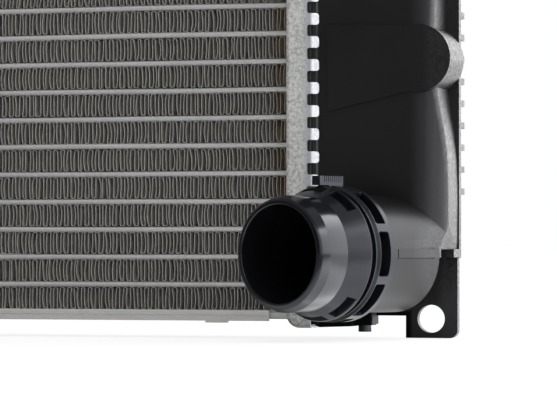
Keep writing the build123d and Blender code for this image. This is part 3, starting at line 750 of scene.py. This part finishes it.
# ------------------------------------------------------------------ all the pieces
# CAD nodes, material, bevel width in mm, further options
REFINED = [
    (("outlet_collar", "inlet_collar"), COLLAR_NYLON, 0.2, {"sharp_mouth": True}),
    (("outlet_lock_ring", "inlet_lock_ring"), RING_NYLON, 0.16, {}),
    (("outlet_tank", "inlet_tank"), TANK_NYLON, 0.3, {}),
    (("outlet_header", "inlet_header"), HEADER_METAL, 0.16, {"shape": round_tabs}),
    (("lower_side_plate", "upper_side_plate"), PLATE_METAL, 0.2, {}),
    (("drain_screw", "bleed_screw"), RING_NYLON, 0.12, {}),
]
# CAD nodes that keep their own mesh
RECOLOURED = [
    (RUBBER, ("outlet_gasket", "inlet_gasket", "outlet_o_rings", "inlet_o_rings",
              "drain_seal", "bleed_seal")),
    (STEEL, ("outlet_snap_ring", "inlet_snap_ring")),
]

build_tubes()
build_fins()
build_spigots()
for cad_nodes, mat, width, options in REFINED:
    for cad_node in cad_nodes:
        refined(cad_node, mat, width, **options)
for mat, cad_nodes in RECOLOURED:
    for cad_node in cad_nodes:
        materials = NODES[cad_node].data.materials
        materials.clear()
        materials.append(mat)

# ------------------------------------------------------------------ stage
FLOOR_HALF = 60
FLOOR_Z = cad_lo[2] - 0.2 * MM
WHITE = (1, 1, 1, 1)
# brightness of the studio by bearing: 1 is the middle of the side light, 0 is opposite
SIDE_LIGHT = Vector((0.82, 0.57, 0.0)).normalized()
BEARING = [
    (0.0, 0.013), (0.14, 0.013), (0.21, 0.052), (0.35, 0.20), (0.5, 0.27),
    (0.80, 0.38), (0.885, 0.88), (0.93, 0.68), (0.965, 0.56), (1.0, 0.57),
]
# brightness of the side light by the upward part of the direction
ELEVATION = [(0.0, 0.55), (0.48, 0.55), (0.56, 0.72), (0.645, 1.0), (0.69, 0.05), (1.0, 0.03)]
# sides of the pale floor patch near the hose mouth: axis, range (m), brightness from and to
PATCH_SIDES = [
    ("X", (0.22, 0.28), (0.0, 1.0)), ("X", (0.30, 0.40), (1.0, 0.0)),
    ("Y", (-0.18, -0.12), (0.0, 1.0)), ("Y", (-0.08, -0.05), (1.0, 0.0)),
]


def bearing_light(nt, direction, flatten):
    """Studio brightness in a direction, made level by the flatten factors."""
    level = vector_calc(nt, "MULTIPLY", direction, flatten)
    unit = vector_calc(nt, "NORMALIZE", level)
    facing = vector_calc(nt, "DOT_PRODUCT", unit, SIDE_LIGHT, output="Value")
    return grey_ramp(nt, remap(nt, facing, (-1.0, 1.0)), BEARING)


def diffuse(nt, grey):
    made = add_node(nt, "ShaderNodeBsdfDiffuse")
    made.inputs[0].default_value = (grey, grey, grey, 1)
    return made.outputs[0]


def glow(nt, strength, kind="ShaderNodeEmission"):
    made = add_node(nt, kind)
    made.inputs[0].default_value = WHITE
    feed(nt, made.inputs[1], strength)
    return made.outputs[0]


def mix_shader(nt, factor, first, second):
    made = add_node(nt, "ShaderNodeMixShader")
    feed(nt, made.inputs[0], factor)
    nt.links.new(first, made.inputs[1])
    nt.links.new(second, made.inputs[2])
    return made.outputs[0]


def camera_ray(nt):
    return add_node(nt, "ShaderNodeLightPath").outputs["Is Camera Ray"]


def floor_glow(nt):
    """Light the radiator gets from below: bright beside and behind the outlet tank."""
    geometry = add_node(nt, "ShaderNodeNewGeometry")
    place = separate(nt, geometry.outputs["Position"])
    incoming = geometry.outputs["Incoming"]
    level = remap(nt, place["X"], (0.300, 0.330), interpolation="SMOOTHSTEP")
    factors = (
        remap(nt, place["Y"], (-0.130, -0.080), interpolation="SMOOTHSTEP"),
        # dimmer for steep rays
        remap(nt, separate(nt, incoming)["Z"], (0.37, 0.68), (1.0, 0.52)),
        # dimmer towards the back
        remap(nt, place["Y"], (-0.035, -0.005), (5.2, 2.6)),
        # the same brightness by bearing as the studio above it
        bearing_light(nt, incoming, flatten=(-1.0, -1.0, 0.0)),
    )
    for factor in factors:
        level = calc(nt, "MULTIPLY", level, factor)

    patch = None
    for axis, span, brightness in PATCH_SIDES:
        side = remap(nt, place[axis], span, brightness, interpolation="SMOOTHSTEP")
        patch = side if patch is None else calc(nt, "MULTIPLY", patch, side)
    patch_strength = 1.1
    return calc(nt, "MULTIPLY_ADD", patch, patch_strength, level)


def build_floor():
    """A floor that is pale to the camera and darker, with a local glow, to the radiator."""
    signs = ((-1, -1), (1, -1), (1, 1), (-1, 1))
    corners = [(x * FLOOR_HALF, y * FLOOR_HALF, FLOOR_Z) for x, y in signs]
    mesh = new_mesh("floor", corners, [(0, 1, 2, 3)], smooth=False)
    mat = bpy.data.materials.new("floor_pale")
    nt = empty_tree(mat)
    out = add_node(nt, "ShaderNodeOutputMaterial")
    glow_share = 0.80
    pale = mix_shader(nt, glow_share, diffuse(nt, grey=0.86), glow(nt, strength=1.04))
    dim = add_node(nt, "ShaderNodeAddShader")
    nt.links.new(diffuse(nt, grey=0.30), dim.inputs[0])
    nt.links.new(glow(nt, floor_glow(nt)), dim.inputs[1])
    nt.links.new(mix_shader(nt, camera_ray(nt), dim.outputs[0], pale), out.inputs[0])
    add_object("floor", mesh, mat)


def build_world():
    """A tall soft light to the right and a little behind, a quiet front, an open top."""
    world = bpy.data.worlds.new("studio")
    scene.world = world
    nt = empty_tree(world)
    out = add_node(nt, "ShaderNodeOutputWorld")
    direction = add_node(nt, "ShaderNodeTexCoord").outputs["Generated"]
    height = separate(nt, direction)["Z"]
    around = bearing_light(nt, direction, flatten=(1.0, 1.0, 0.0))
    side = calc(nt, "MULTIPLY", around, grey_ramp(nt, height, ELEVATION))
    side_strength = 9.1
    side = calc(nt, "MULTIPLY", side, side_strength)
    top = remap(nt, height, (0.25, 0.9), (0.0, 0.3))
    studio = glow(nt, calc(nt, "ADD", side, top), kind="ShaderNodeBackground")
    backdrop = glow(nt, strength=1.0, kind="ShaderNodeBackground")
    nt.links.new(mix_shader(nt, camera_ray(nt), studio, backdrop), out.inputs[0])


def area_light(name, location, target, size, power):
    """A rectangular light that shows neither to the camera nor in reflections."""
    light = bpy.data.lights.new(name, "AREA")
    light.energy = power
    light.shape = "RECTANGLE"
    light.size, light.size_y = size
    obj = bpy.data.objects.new(name, light)
    scene.collection.objects.link(obj)
    obj.location = location
    aim = Vector(target) - Vector(location)
    obj.rotation_euler = aim.to_track_quat("-Z", "Y").to_euler()
    obj.visible_camera = False
    obj.visible_glossy = False


def build_camera():
    data = bpy.data.cameras.new("camera")
    data.lens = 203.5
    data.sensor_width = 36.0
    data.clip_start = 0.05
    data.clip_end = 200.0
    camera = bpy.data.objects.new("camera", data)
    scene.collection.objects.link(camera)
    camera.location = (0.6131, -1.0960, 0.0272)
    yaw = math.radians(16.33)                   # from +Y towards -X
    pitch = math.radians(0.818715336)           # upwards
    look = Vector((
        -math.sin(yaw) * math.cos(pitch), math.cos(yaw) * math.cos(pitch), math.sin(pitch)
    ))
    camera.rotation_mode = "QUATERNION"
    camera.rotation_quaternion = look.to_track_quat("-Z", "Y")
    scene.camera = camera


build_floor()
build_world()
area_light(
    "right_soft", location=(2.4, 1.4, 0.9), target=(0.3, 0, 0.1), size=(1.4, 1.6), power=10
)
area_light(
    "top_soft", location=(0.5, -0.9, 2.2), target=(0.2, 0, 0.1), size=(1.8, 1.8), power=23
)
build_camera()
scene.view_settings.view_transform = "Standard"
scene.view_settings.look = "None"
scene.view_settings.exposure = 0.0
